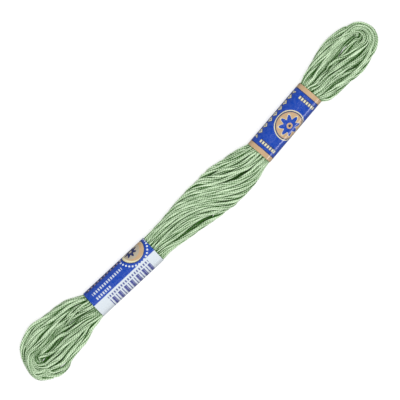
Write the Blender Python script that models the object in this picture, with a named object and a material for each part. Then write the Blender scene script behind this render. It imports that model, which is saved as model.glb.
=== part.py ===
"""Skein of six-strand embroidery floss, held long and flat by two paper sleeves.

The skein lies along X on the plane z = 0, its lower loop at -X and its upper loop at +X. It is one
hank: a thick band of thread runs up the first leg, round the upper loop, down the second leg and
round the lower loop. The legs part at each end round a narrow eye. Between the loops they lie
against each other inside one oval bundle, and turn about each other by about half a turn.

Sizes in this script are in millimetres. The meshes are made in metres.
"""

import math
from bisect import bisect
from collections import namedtuple

import bmesh
import bpy

MM = 0.001

# The round ends of the two loops: where the legs end and the bend begins, how far the outermost
# turn reaches past that, and how far the eye does
LOWER_BEND_X, LOWER_REACH, LOWER_EYE_REACH = -79.0, 5.6, 2.0
UPPER_BEND_X, UPPER_REACH, UPPER_EYE_REACH = 77.5, 7.2, 1.6

PAPER_WALL = 0.5  # of a sleeve, its glued overlap levelled out
CLEARANCE = 0.3  # between a sleeve and the floss, and between the two legs
FIT_MARGIN = 0.1  # more room in the sleeves, for the bundle's slight curve
SETTLE = 0.5  # how much of a round underside is pressed flat where it lies

RIDGES = 10  # raised strands round one leg
POINTS_PER_RIDGE = 4
RIDGE_PROFILE = (-0.55, 0.2, 0.45, 0.2)  # height across one ridge, from its groove
RIDGE_HEIGHT = 0.6
RING_SPACING = 3.9  # along the legs
BEND_RINGS = 10  # steps round a loop's end
FACE_ROUNDING = 8  # power that rounds a leg's edges: higher is sharper
OUTLINE_STEPS = 180

# The bundle of both legs outside the sleeves, looking down on it. right and left are its edges at
# -Y and +Y, top is its height and under its underside. turn is the direction, in degrees about X,
# from the second leg to the first: 0 is side by side with the first leg at +Y. split moves the
# face between the legs towards the first one, and eye is half the width of the slit between them.
Station = namedtuple("Station", "x right left top under turn split eye")
BUNDLE = (
    Station(x=-79.0, right=-10.0, left=9.1, top=6.4, under=0.0, turn=13, split=-0.2, eye=0.7),
    Station(x=-74.5, right=-10.2, left=10.2, top=6.8, under=0.0, turn=14, split=0.2, eye=0.9),
    Station(x=-69.5, right=-8.3, left=10.1, top=7.2, under=0.0, turn=14, split=0.2, eye=0.8),
    Station(x=-64.0, right=-7.4, left=9.2, top=7.9, under=0.0, turn=15, split=0.3, eye=0.4),
    Station(x=-58.5, right=-6.1, left=7.9, top=8.8, under=0.1, turn=16, split=0.2, eye=0.15),
    Station(x=-55.5, right=-5.4, left=6.8, top=9.2, under=0.4, turn=16, split=0.0, eye=0.15),
    Station(x=-21.0, right=-5.5, left=4.7, top=9.4, under=0.4, turn=41, split=0.0, eye=0.15),
    Station(x=-14.9, right=-6.1, left=5.0, top=9.4, under=0.1, turn=48, split=0.0, eye=0.15),
    Station(x=-7.9, right=-7.1, left=5.7, top=9.0, under=0.0, turn=60, split=0.0, eye=0.15),
    Station(x=-0.9, right=-8.3, left=6.0, top=8.6, under=0.0, turn=76, split=0.0, eye=0.15),
    Station(x=6.0, right=-9.4, left=6.1, top=8.4, under=0.0, turn=93, split=0.0, eye=0.15),
    Station(x=13.0, right=-9.2, left=5.4, top=8.6, under=0.0, turn=107, split=0.0, eye=0.15),
    Station(x=19.0, right=-8.7, left=4.2, top=9.0, under=0.1, turn=116, split=0.0, eye=0.15),
    Station(x=22.5, right=-7.6, left=3.5, top=9.3, under=0.4, turn=120, split=0.0, eye=0.15),
    Station(x=56.0, right=-5.7, left=6.8, top=9.3, under=0.4, turn=156, split=0.0, eye=0.15),
    Station(x=60.0, right=-6.7, left=8.0, top=9.0, under=0.1, turn=163, split=-0.8, eye=0.2),
    Station(x=65.0, right=-7.5, left=9.0, top=8.6, under=0.0, turn=174, split=-2.0, eye=0.4),
    Station(x=70.0, right=-7.7, left=9.7, top=8.2, under=0.0, turn=184, split=-2.6, eye=0.6),
    Station(x=74.5, right=-7.4, left=9.6, top=7.8, under=0.0, turn=190, split=-2.6, eye=0.8),
    Station(x=77.5, right=-6.8, left=9.2, top=7.5, under=0.0, turn=192, split=-2.2, eye=0.8),
)

# The paper sleeves: their two ends along X, where the centre line lies across the skein at each,
# the outer width and height, and the bundle's turn at each end
Sleeve = namedtuple("Sleeve", "name start end start_y end_y width height start_turn end_turn")
SLEEVES = (
    Sleeve("lower_sleeve", -52.5, -24.0, 0.1, -0.5, 10.9, 10.0, 17, 38),
    Sleeve("upper_sleeve", 25.5, 53.1, -2.2, 0.4, 10.4, 10.0, 123, 152),
)
SLEEVE_SIDES = 36
SLEEVE_RINGS = 5
ROWS_IN_SLEEVE = 5

FLOSS_GREEN = (0.46, 0.64, 0.38, 1.0)
PRINTED_BLUE = (0.02, 0.08, 0.55, 1.0)


def bundle_rows():
    """The bundle's stations from end to end, those inside the sleeves worked out from the sleeves."""
    rows = list(BUNDLE)
    inset = PAPER_WALL + CLEARANCE + FIT_MARGIN
    for sleeve in SLEEVES:
        for i in range(ROWS_IN_SLEEVE):
            along = i / (ROWS_IN_SLEEVE - 1)
            middle = sleeve.start_y + (sleeve.end_y - sleeve.start_y) * along
            turn = sleeve.start_turn + (sleeve.end_turn - sleeve.start_turn) * along
            rows.append(
                Station(
                    x=sleeve.start + (sleeve.end - sleeve.start) * along,
                    right=middle - sleeve.width / 2 + inset,
                    left=middle + sleeve.width / 2 - inset,
                    top=sleeve.height - inset,
                    under=inset,
                    turn=turn,
                    split=0.0,
                    eye=CLEARANCE / 2,
                )
            )
    return sorted(rows)


ROWS = bundle_rows()


def slope(before, after):
    """The slope where two stretches meet, which adds no bump between rows."""
    return 0.0 if before * after <= 0 else 2 * before * after / (before + after)


def column(name, x):
    """One column of the bundle at x, on a smooth curve through its rows."""
    xs = [row.x for row in ROWS]
    values = [getattr(row, name) for row in ROWS]
    rises = [(values[i + 1] - values[i]) / (xs[i + 1] - xs[i]) for i in range(len(xs) - 1)]
    i = min(max(bisect(xs, x) - 1, 0), len(xs) - 2)
    start = slope(rises[i - 1], rises[i]) if i > 0 else rises[i]
    end = slope(rises[i], rises[i + 1]) if i + 1 < len(rises) else rises[i]
    span = xs[i + 1] - xs[i]
    t = (x - xs[i]) / span
    return (
        values[i] * (1 + 2 * t) * (1 - t) ** 2
        + start * span * t * (1 - t) ** 2
        + values[i + 1] * t * t * (3 - 2 * t)
        + end * span * t * t * (t - 1)
    )


def bundle_at(x):
    return Station(x, *(column(name, x) for name in Station._fields[1:]))


class Leg:
    """One leg's section at x. side is 1 for the first leg and -1 for the second."""

    def __init__(self, x, side):
        bundle = bundle_at(x)
        sunk = bundle.under - SETTLE
        self.half_width = (bundle.left - bundle.right) / 2
        self.half_height = (bundle.top - sunk) / 2
        self.middle_y = (bundle.left + bundle.right) / 2
        self.middle_z = (bundle.top + sunk) / 2
        turn = math.radians(bundle.turn)
        self.outward = (side * math.cos(turn), side * math.sin(turn))
        self.upward = (-math.sin(turn), math.cos(turn))
        # The point on the face between the legs that the section is measured from
        self.split_y = self.middle_y + bundle.split * math.cos(turn)
        self.split_z = self.middle_z + bundle.split * math.sin(turn)
        self.eye = bundle.eye
        self.far = self.reach(self.split_y, self.split_z, self.outward)

    def reach(self, y, z, direction):
        """How far the bundle's oval lies from a point inside it, in a direction."""
        dy, dz = direction[0] / self.half_width, direction[1] / self.half_height
        py, pz = (y - self.middle_y) / self.half_width, (z - self.middle_z) / self.half_height
        a, b, c = dy * dy + dz * dz, py * dy + pz * dz, py * py + pz * pz - 1
        return (-b + math.sqrt(b * b - a * c)) / a

    def outline(self):
        """Points (out, up) round the section, evenly spaced from the middle of its inner face."""
        middle = (self.far + self.eye) / 2
        y = self.split_y + self.outward[0] * middle
        z = self.split_z + self.outward[1] * middle
        dense = []
        for i in range(OUTLINE_STEPS + 1):
            angle = 2 * math.pi * i / OUTLINE_STEPS - math.pi
            out, up = math.cos(angle), math.sin(angle)
            direction = tuple(out * n + up * u for n, u in zip(self.outward, self.upward))
            reach = self.reach(y, z, direction) ** -FACE_ROUNDING
            if out < 0:
                reach += ((middle - self.eye) / -out) ** -FACE_ROUNDING
            reach **= -1 / FACE_ROUNDING
            dense.append((middle + reach * out, reach * up))
        return ridged(evenly_spaced(dense, RIDGES * POINTS_PER_RIDGE), self.eye)

    def place(self, out, up):
        return (
            self.split_y + self.outward[0] * out + self.upward[0] * up,
            self.split_z + self.outward[1] * out + self.upward[1] * up,
        )


def evenly_spaced(closed, count):
    """count points at equal distances round a closed outline whose last point is its first."""
    lengths = [0.0]
    for a, b in zip(closed, closed[1:]):
        lengths.append(lengths[-1] + math.dist(a, b))
    points = []
    for k in range(count):
        goal = lengths[-1] * k / count
        i = min(bisect(lengths, goal), len(closed) - 1)
        t = (goal - lengths[i - 1]) / (lengths[i] - lengths[i - 1])
        points.append(tuple(a + (b - a) * t for a, b in zip(closed[i - 1], closed[i])))
    return points


def ridged(points, eye):
    """The outline with its strands raised, apart from the face that lies against the other leg."""
    raised = []
    for i, (out, up) in enumerate(points):
        before, after = points[i - 1], points[(i + 1) % len(points)]
        along = (after[0] - before[0], after[1] - before[1])
        length = math.hypot(*along)
        height = RIDGE_HEIGHT * RIDGE_PROFILE[i % POINTS_PER_RIDGE] * min(max(out - eye, 0.0), 1.0)
        raised.append((out + height * along[1] / length, up - height * along[0] / length))
    return raised


def leg_ring(x, side):
    """One ring of points round a leg."""
    leg, under = Leg(x, side), column("under", x)
    ring = []
    for out, up in leg.outline():
        y, z = leg.place(out, up)
        ring.append((x, y, max(z, under)))
    return ring


def bend_rings(x, heading, first_side, reach, eye_reach):
    """The rings round a loop's end, from one leg to the other. heading is 1 towards +X."""
    start, end = Leg(x, first_side), Leg(x, -first_side)
    start_outline, end_outline = start.outline(), end.outline()
    rings = []
    for step in range(1, BEND_RINGS):
        angle = math.pi * step / BEND_RINGS
        swept = (1 - math.cos(angle)) / 2
        side_far = start.far if step * 2 <= BEND_RINGS else end.far
        far = start.far + (end.far - start.far) * swept
        edge = 1 / math.hypot(math.sin(angle) / reach, math.cos(angle) / side_far)
        eye = 1 / math.hypot(math.sin(angle) / eye_reach, math.cos(angle) / start.eye)
        ring = []
        for a, b in zip(start_outline, end_outline):
            out = a[0] + (b[0] - a[0]) * swept
            up = a[1] + (b[1] - a[1]) * swept
            out = eye + (out - start.eye) * (edge - eye) / (far - start.eye)
            y, z = start.place(out * math.cos(angle), up)
            ring.append((x + heading * out * math.sin(angle), y, max(z, 0.0)))
        rings.append(ring)
    return rings


def mesh_object(name, points, faces, material):
    """A closed, smooth-shaded body from points in millimetres."""
    mesh = bpy.data.meshes.new(name)
    mesh.from_pydata([[c * MM for c in point] for point in points], [], faces)
    body = bmesh.new()
    body.from_mesh(mesh)
    bmesh.ops.recalc_face_normals(body, faces=body.faces)
    body.to_mesh(mesh)
    body.free()
    mesh.shade_smooth()
    mesh.set_sharp_from_angle(angle=math.radians(50))
    mesh.materials.append(material)
    placed = bpy.data.objects.new(name, mesh)
    bpy.context.collection.objects.link(placed)
    return placed


def joined_rings(rings):
    """Points and faces of a closed band whose last ring meets its first."""
    sides = len(rings[0])
    points = [point for ring in rings for point in ring]
    faces = []
    for i in range(len(rings)):
        here, there = i * sides, (i + 1) % len(rings) * sides
        for k in range(sides):
            after = (k + 1) % sides
            faces.append((here + k, here + after, there + after, there + k))
    return points, faces


def material(name, color, roughness):
    made = bpy.data.materials.new(name)
    made.use_nodes = True
    shader = made.node_tree.nodes["Principled BSDF"]
    shader.inputs["Base Color"].default_value = color
    shader.inputs["Roughness"].default_value = roughness
    shader.inputs["Metallic"].default_value = 0.0
    return made


def ring_stations():
    """Where a leg's rings stand, with one at each mouth of a sleeve."""
    stops = [LOWER_BEND_X, *(x for sleeve in SLEEVES for x in (sleeve.start, sleeve.end)), UPPER_BEND_X]
    stations = [stops[0]]
    for start, end in zip(stops, stops[1:]):
        count = round((end - start) / RING_SPACING)
        stations += [start + (end - start) * (i + 1) / count for i in range(count)]
    return stations


def floss_skein():
    """The whole hank as one closed band: first leg, upper bend, second leg, lower bend."""
    stations = ring_stations()
    rings = [leg_ring(x, 1) for x in stations]
    rings += bend_rings(UPPER_BEND_X, 1, 1, UPPER_REACH, UPPER_EYE_REACH)
    rings += [leg_ring(x, -1) for x in reversed(stations)]
    rings += bend_rings(LOWER_BEND_X, -1, -1, LOWER_REACH, LOWER_EYE_REACH)
    return mesh_object("floss_skein", *joined_rings(rings), material("cotton_floss", FLOSS_GREEN, 0.7))


def sleeve_ring(sleeve, along, inset):
    """One ring of a sleeve, square to its centre line and pressed flat underneath."""
    length = math.hypot(sleeve.end - sleeve.start, sleeve.end_y - sleeve.start_y)
    lean_x = (sleeve.end - sleeve.start) / length
    lean_y = (sleeve.end_y - sleeve.start_y) / length
    middle_x = sleeve.start + (sleeve.end - sleeve.start) * along
    middle_y = sleeve.start_y + (sleeve.end_y - sleeve.start_y) * along
    half_width = sleeve.width / 2 - inset
    half_height = (sleeve.height + SETTLE) / 2 - inset
    middle_z = (sleeve.height - SETTLE) / 2
    ring = []
    for k in range(SLEEVE_SIDES):
        angle = 2 * math.pi * k / SLEEVE_SIDES
        across = half_width * math.cos(angle)
        z = middle_z + half_height * math.sin(angle)
        ring.append((middle_x - lean_y * across, middle_y + lean_x * across, max(z, inset)))
    return ring


def paper_sleeve(sleeve):
    """A paper tube: up its outside and back down its inside."""
    steps = [i / (SLEEVE_RINGS - 1) for i in range(SLEEVE_RINGS)]
    rings = [sleeve_ring(sleeve, along, 0.0) for along in steps]
    rings += [sleeve_ring(sleeve, along, PAPER_WALL) for along in reversed(steps)]
    return mesh_object(sleeve.name, *joined_rings(rings), material(sleeve.name, PRINTED_BLUE, 0.45))


def clear_scene():
    for old in list(bpy.data.objects):
        bpy.data.objects.remove(old)


def build():
    clear_scene()
    floss_skein()
    for sleeve in SLEEVES:
        paper_sleeve(sleeve)


build()
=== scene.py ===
"""Looks of a skein of six-strand embroidery floss, held long and flat by two paper sleeves.

The skein lies along X on the floor, as its solids do. Its floss is one thread of about 8 m, wound
round and round through an upper and a lower loop. Each turn gets a place in the bundle, and the
turns are then pressed against each other for a set number of rounds, to part those that lie
inside another. The thread is swept along that path. The sleeves are printed paper, wrapped round
the bundle and glued underneath.

Lengths are in millimetres unless a name ends in _m. Meshes are made in metres.
"""

import logging
import math
from dataclasses import dataclass, field
from enum import Enum

import bpy
import numpy as np
from mathutils import Matrix, Vector


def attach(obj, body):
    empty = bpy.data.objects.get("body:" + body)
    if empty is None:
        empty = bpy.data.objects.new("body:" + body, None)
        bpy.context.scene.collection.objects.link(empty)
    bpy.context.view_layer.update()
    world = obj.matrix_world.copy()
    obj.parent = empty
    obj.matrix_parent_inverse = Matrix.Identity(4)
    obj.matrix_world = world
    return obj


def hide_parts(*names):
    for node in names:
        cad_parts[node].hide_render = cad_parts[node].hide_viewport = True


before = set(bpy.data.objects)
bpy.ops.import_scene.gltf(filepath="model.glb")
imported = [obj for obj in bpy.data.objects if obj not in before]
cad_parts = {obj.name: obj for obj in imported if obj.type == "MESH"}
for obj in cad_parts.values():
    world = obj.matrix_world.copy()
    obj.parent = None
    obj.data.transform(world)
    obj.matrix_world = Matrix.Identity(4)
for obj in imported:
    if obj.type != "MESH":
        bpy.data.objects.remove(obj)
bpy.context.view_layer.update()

MM = 0.001
BODY = "root"
SEED = 1
FAR = 99.0  # stands for a thread's distance to itself, so that it is never the nearest
BAKE_MAP = "OFBake"
LAY_MAP = "lay"
PRINT_MAP = "print"
log = logging.getLogger("floss")


# --- small helpers ---------------------------------------------------------------------------


def srgb(code: str) -> tuple[float, float, float, float]:
    """Linear colour of an sRGB hex value.

    Args:
        code: six hex digits after a hash sign.

    Returns:
        Red, green, blue and an alpha of 1.
    """
    parts = [int(code[i : i + 2], 16) / 255 for i in (1, 3, 5)]
    linear = [p / 12.92 if p <= 0.04045 else ((p + 0.055) / 1.055) ** 2.4 for p in parts]
    return (*linear, 1.0)


def add_node(tree: bpy.types.NodeTree, kind: str, inputs: dict | None = None, **settings: object) -> bpy.types.Node:
    """Adds a node with its settings, values and links.

    Args:
        tree: the tree that it joins.
        kind: the node's type name.
        inputs: socket name or number to a value, or to an output socket to link from.
        settings: attributes of the node.

    Returns:
        The node.
    """
    node = tree.nodes.new(kind)
    for name, value in settings.items():
        setattr(node, name, value)
    for key, value in (inputs or {}).items():
        if isinstance(value, bpy.types.NodeSocket):
            tree.links.new(value, node.inputs[key])
        else:
            node.inputs[key].default_value = value
    return node


def add_ranges(tree: bpy.types.NodeTree, ranges: list[tuple], operation: str) -> bpy.types.NodeSocket:
    """Turns several values into shares and joins them.

    Args:
        tree: the tree that the nodes join.
        ranges: for each value its socket, its low and high end, and the share at each.
        operation: how the shares are joined.

    Returns:
        The joined share.
    """
    joined = None
    for value, low, high, at_low, at_high in ranges:
        ends = {"Value": value, "From Min": low, "From Max": high, "To Min": at_low, "To Max": at_high}
        share = add_node(tree, "ShaderNodeMapRange", ends).outputs[0]
        if joined is not None:
            share = add_node(tree, "ShaderNodeMath", {0: joined, 1: share}, operation=operation).outputs[0]
        joined = share
    return joined


def new_material(name: str) -> tuple[bpy.types.Material, bpy.types.NodeTree, bpy.types.Node]:
    """A new material, its nodes and its shader."""
    made = bpy.data.materials.new(name)
    made.use_nodes = True
    return made, made.node_tree, made.node_tree.nodes["Principled BSDF"]


def place_object(name: str, data: bpy.types.ID) -> bpy.types.Object:
    """Adds an object to the scene."""
    made = bpy.data.objects.new(name, data)
    bpy.context.scene.collection.objects.link(made)
    return made


def read_values(items: bpy.types.bpy_prop_collection, name: str, kind: type, width: int = 1) -> np.ndarray:
    """One property of all of a mesh's points, corners or faces, end to end."""
    values = np.empty(len(items) * width, kind)
    items.foreach_get(name, values)
    return values


def add_map(mesh: bpy.types.Mesh, name: str, first: np.ndarray, second: np.ndarray) -> None:
    """Gives a mesh a map from two values at each of its corners."""
    layer = mesh.uv_layers.new(name=name, do_init=False)
    layer.uv.foreach_set("vector", np.stack([first, second], 1).astype(np.float32).ravel())


def smooth_between(xs: np.ndarray, values: np.ndarray, x: np.ndarray) -> np.ndarray:
    """Values at x on a smooth curve through rows, which adds no bump between them.

    Args:
        xs: the rows' places, rising.
        values: the rows' values.
        x: where the curve is read.

    Returns:
        One value for each x.
    """
    rise = np.diff(values) / np.diff(xs)
    product = rise[:-1] * rise[1:]
    total = np.where(np.abs(rise[:-1] + rise[1:]) < 1e-12, 1.0, rise[:-1] + rise[1:])
    slopes = np.concatenate([rise[:1], np.where(product > 0, 2 * product / total, 0.0), rise[-1:]])
    i = np.clip(np.searchsorted(xs, x, side="right") - 1, 0, len(xs) - 2)
    span = xs[i + 1] - xs[i]
    t = (x - xs[i]) / span
    return (
        values[i] * (1 + 2 * t) * (1 - t) ** 2
        + slopes[i] * span * t * (1 - t) ** 2
        + values[i + 1] * t * t * (3 - 2 * t)
        + slopes[i + 1] * span * t * t * (t - 1)
    )


def smoothstep(value: np.ndarray, low: float, high: float) -> np.ndarray:
    """Rises from 0 at low to 1 at high, level at both ends."""
    t = np.clip((value - low) / (high - low), 0, 1)
    return t * t * (3 - 2 * t)


def grid_faces(rows: int, columns: int) -> np.ndarray:
    """Quads between the points of a grid that is numbered row by row."""
    row, column = np.meshgrid(np.arange(rows - 1), np.arange(columns - 1), indexing="ij")
    first = (row * columns + column).ravel()
    return np.stack([first, first + 1, first + columns + 1, first + columns], 1)


# --- the bundle's form -----------------------------------------------------------------------


@dataclass(frozen=True)
class Station:
    """The bundle's section at one place along the skein, seen from above.

    right and left are its edges at -Y and +Y, top its height and under its underside. turn is the
    direction, in degrees about X, from the second leg to the first. split moves the face between
    the legs towards the first leg, and eye is half the width of the slit between them.
    """

    x: float
    right: float
    left: float
    top: float
    under: float
    turn: float
    split: float
    eye: float


@dataclass(frozen=True)
class SleeveFit:
    """Where a paper sleeve sits: its ends, its centre line's Y at each, its size and the bundle's turn."""

    name: str
    start: float
    end: float
    start_y: float
    end_y: float
    width: float
    height: float
    start_turn: float
    end_turn: float

    def middle_y(self, x: np.ndarray) -> np.ndarray:
        """The centre line's Y at x."""
        return self.start_y + (self.end_y - self.start_y) * (x - self.start) / (self.end - self.start)


# name, start, end, start_y, end_y, width, height, start_turn, end_turn
LOWER = SleeveFit("lower_sleeve", -52.5, -24.0, 0.1, -0.5, 10.9, 10.0, 17, 14)
UPPER = SleeveFit("upper_sleeve", 25.5, 53.1, -2.2, 0.4, 10.4, 10.0, 158, 155)

LOOSE_STATIONS = tuple(
    Station(*row)
    for row in (
        # x, right, left, top, under, turn, split, eye
        (-79.0, -9.2, 10.5, 6.4, 0.0, 13, -0.6, 1.5),
        (-74.5, -9.2, 11.2, 6.8, 0.0, 14, -0.5, 1.7),
        (-69.5, -8.3, 11.0, 7.2, 0.0, 14, -0.3, 1.5),
        (-64.0, -7.7, 9.9, 7.9, 0.0, 15, 0.2, 0.9),
        (-58.5, -6.1, 8.4, 8.8, 0.1, 16, 0.2, 0.2),
        (-55.5, -5.6, 6.9, 9.2, 0.4, 16, 0.0, 0.0),
        (-21.0, -5.5, 4.7, 9.4, 0.4, 12, 0.0, 0.0),
        (-14.9, -6.2, 5.0, 9.4, 0.1, 15, 0.0, 0.0),
        (-7.9, -7.3, 5.8, 9.0, 0.0, 32, 0.0, 0.0),
        (-0.9, -8.5, 6.2, 8.6, 0.0, 60, 0.0, 0.0),
        (6.0, -9.6, 6.3, 8.4, 0.0, 94, 0.0, 0.0),
        (13.0, -9.4, 5.6, 8.6, 0.0, 126, 0.0, 0.0),
        (19.0, -8.8, 4.4, 9.0, 0.1, 146, 0.0, 0.0),
        (22.5, -7.7, 3.6, 9.3, 0.4, 154, 0.0, 0.0),
        (56.0, -6.3, 7.0, 9.3, 0.4, 157, 0.0, 0.0),
        (60.0, -7.2, 8.1, 9.0, 0.1, 163, -1.4, 0.2),
        (65.0, -7.9, 9.1, 8.6, 0.0, 174, -2.7, 0.7),
        (70.0, -8.2, 9.8, 8.2, 0.0, 184, -3.3, 1.0),
        (74.5, -8.3, 9.6, 7.8, 0.0, 190, -3.6, 1.2),
        (77.5, -7.8, 8.9, 7.5, 0.0, 192, -3.5, 1.1),
    )
)


@dataclass(frozen=True)
class LowLeg:
    """Where the first leg lies lower than the second, with fewer turns on top of each other."""

    start: float
    full: float
    share: float  # of the bundle's height

    def height(self, x: np.ndarray, side: int) -> np.ndarray:
        """A leg's height at x as a share of the bundle's."""
        return 1 - (1 - self.share) * smoothstep(x, self.start, self.full) * (side > 0)


LOW_LEG = LowLeg(start=57.0, full=68.0, share=0.78)


@dataclass(frozen=True)
class Valley:
    """How a loop's top falls towards its eye: from where to where it grows, how wide and how deep it is."""

    start: float
    full: float
    width: float
    depth: float
    second: float  # the share of the depth beside the second leg
    tip: float  # the share of the depth at the tip of the eye

    def fall(self, x: np.ndarray | float, out: np.ndarray, share: np.ndarray | float) -> np.ndarray:
        """How far the top lies lower at a distance out from the face between the legs."""
        grown = smoothstep(np.abs(x), self.start, self.full)
        return self.depth * share * grown * (1 - smoothstep(out, 0.0, self.width))


LOWER_VALLEY = Valley(start=58.0, full=69.0, width=4.6, depth=4.4, second=1.0, tip=0.35)
UPPER_VALLEY = Valley(start=58.0, full=66.0, width=5.0, depth=4.4, second=0.3, tip=0.35)


@dataclass(frozen=True)
class LoopEnd:
    """The round end of a loop: where the bend begins, how far the outermost turn and the eye reach past it."""

    x: float
    heading: int
    reach: float
    eye_reach: float


LOWER_END = LoopEnd(x=-79.0, heading=-1, reach=6.8, eye_reach=2.0)
UPPER_END = LoopEnd(x=77.5, heading=1, reach=8.1, eye_reach=1.3)


@dataclass
class Sections:
    """The bundle's sections at many places along X, read from the stations.

    Each leg's section is the bundle's oval on its own side of the face between the legs. It is
    described by distances out from that face and up along it.
    """

    x: np.ndarray
    paper_inset: float = 0.32
    settle: float = 0.5  # how far the oval reaches under the underside, which the floor flattens
    rows_in_sleeve: int = 5
    under_eye: float = 1.3  # how far turns reach in under an eye, as a share of its half width
    values: dict[str, np.ndarray] = field(default_factory=dict)

    def __post_init__(self) -> None:
        """Reads every column of the stations at x."""
        rows = sorted([*LOOSE_STATIONS, *self.sleeve_stations()], key=lambda row: row.x)
        places = np.array([row.x for row in rows])
        for name in ("right", "left", "top", "under", "turn", "split", "eye"):
            column = np.array([getattr(row, name) for row in rows], float)
            self.values[name] = smooth_between(places, column, self.x)
        sunk = self.values["under"] - self.settle
        self.half_width = (self.values["left"] - self.values["right"]) / 2
        self.half_height = (self.values["top"] - sunk) / 2
        self.middle_y = (self.values["left"] + self.values["right"]) / 2
        self.middle_z = (self.values["top"] + sunk) / 2
        turn = np.radians(self.values["turn"])
        self.across = np.stack([np.cos(turn), np.sin(turn)], 1)
        self.upward = np.stack([-np.sin(turn), np.cos(turn)], 1)
        self.sense = np.where(self.upward[:, 1] < 0, -1.0, 1.0)
        middle = np.stack([self.middle_y, self.middle_z], 1)
        self.face = middle + self.across * self.values["split"][:, None]

    def sleeve_stations(self) -> list[Station]:
        """The stations inside the sleeves, where the paper holds the bundle."""
        rows = []
        for fit in (LOWER, UPPER):
            for along in np.linspace(0, 1, self.rows_in_sleeve):
                x = fit.start + (fit.end - fit.start) * along
                middle = float(fit.middle_y(x))
                half = fit.width / 2 - self.paper_inset
                turn = fit.start_turn + (fit.end_turn - fit.start_turn) * along
                top = fit.height - self.paper_inset
                rows.append(Station(x, middle - half, middle + half, top, self.paper_inset, turn, 0.0, 0.0))
        return rows

    def oval(self, side: int) -> tuple[np.ndarray, np.ndarray]:
        """The middle and the half sizes of the oval that holds a leg, each as Y and Z by section."""
        height = self.half_height * LOW_LEG.height(self.x, side)
        middle = np.stack([self.middle_y, self.middle_z - self.half_height + height], 1)
        return middle, np.stack([self.half_width, height], 1)

    def reach(self, start: np.ndarray, direction: np.ndarray, side: int) -> np.ndarray:
        """How far a leg's oval lies from points inside it.

        Args:
            start: Y and Z of a point for each section.
            direction: a unit direction for each section, with a leading axis if there are several.
            side: 1 for the first leg and -1 for the second.

        Returns:
            The distances.
        """
        middle, size = self.oval(side)
        d, p = direction / size, (start - middle) / size
        a, b, c = (d * d).sum(-1), (d * p).sum(-1), (p * p).sum(-1) - 1
        return (-b + np.sqrt(np.maximum(b * b - a * c, 0))) / a

    def leg_face(self, side: int) -> np.ndarray:
        """The middle of the face between the legs, at the height of the leg's own middle."""
        face = self.face.copy()
        face[:, 1] += self.oval(side)[0][:, 1] - self.middle_z
        return face

    def place_slots(self, slots: np.ndarray, side: int) -> tuple[np.ndarray, np.ndarray]:
        """Sets places of a half disc of radius 1 into a leg's true section.

        Args:
            slots: places in the half disc, by turn and place along the skein.
            side: 1 for the first leg and -1 for the second.

        Returns:
            Distances out from the face between the legs and up along it.
        """
        face, outward, eye = self.leg_face(side), self.across * side, self.values["eye"]
        far = self.reach(face, outward, side)
        middle = (far + eye) / 2
        centre = face + outward * middle[:, None]
        angle = np.arctan2(slots[..., 1], slots[..., 0] - 0.5)
        spread = np.hypot(slots[..., 1], slots[..., 0] - 0.5)
        cos, sin = np.cos(angle), np.sin(angle)
        inward = np.where(cos < 0, -cos, 1e-6)
        whole = np.minimum(-0.5 * cos + np.sqrt(1 - 0.25 * sin * sin), 0.5 / inward)
        direction = cos[..., None] * outward + sin[..., None] * self.upward
        edge = np.minimum(self.reach(centre, direction, side), (middle - eye) / inward)
        share = spread / whole
        out, up = middle + share * edge * cos, share * edge * sin
        closed = self.under_eye * eye * (1 - self.open_above(up * self.sense))
        return out - closed * (far - out) / (far - eye), up

    @staticmethod
    def open_above(up: np.ndarray) -> np.ndarray:
        """How far the eye is open at a height above the bundle's middle: not at all near the floor."""
        return smoothstep(up, -1.2, 2.2)

    def far(self, side: int) -> np.ndarray:
        """How far each section reaches out from the face between the legs."""
        return self.reach(self.leg_face(side), self.across * side, side)


# --- the floss -------------------------------------------------------------------------------


@dataclass(frozen=True)
class Gap:
    """A slit in the top of the belly, seen from above: from X, Y to X, Y, and how deep down it goes."""

    start: tuple[float, float]
    end: tuple[float, float]
    width: float
    bottom: float = 4.5


@dataclass(frozen=True)
class Lean:
    """A stretch of the skein where the turns on one side lie a little further out or in, in millimetres."""

    x: float
    reach: float
    start: float  # the y where the shift starts
    full: float  # the y past which it is full
    sideways: float


@dataclass(frozen=True)
class Slump:
    """Lower turns that have slid out sideways from under the rest of a loop."""

    start: float  # X where the turns begin to slide
    full: float  # X where they lie furthest out
    sideways: float
    past_end: float
    level: float  # mean height of the highest turn that slides


@dataclass(frozen=True)
class BendFrame:
    """The form that the turns are kept in round a loop's end, with one entry for each step of the bend."""

    middle: np.ndarray  # a point on the face between the legs
    across: np.ndarray  # outward from there
    up: np.ndarray
    sense: np.ndarray
    eye: np.ndarray
    offset: np.ndarray  # of the oval's middle, outward
    width: np.ndarray  # half of the oval's
    height: np.ndarray
    top: np.ndarray
    spacing: np.ndarray
    closing: np.ndarray  # how much of the eye is closed near the floor
    depth: np.ndarray
    end: float


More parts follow.
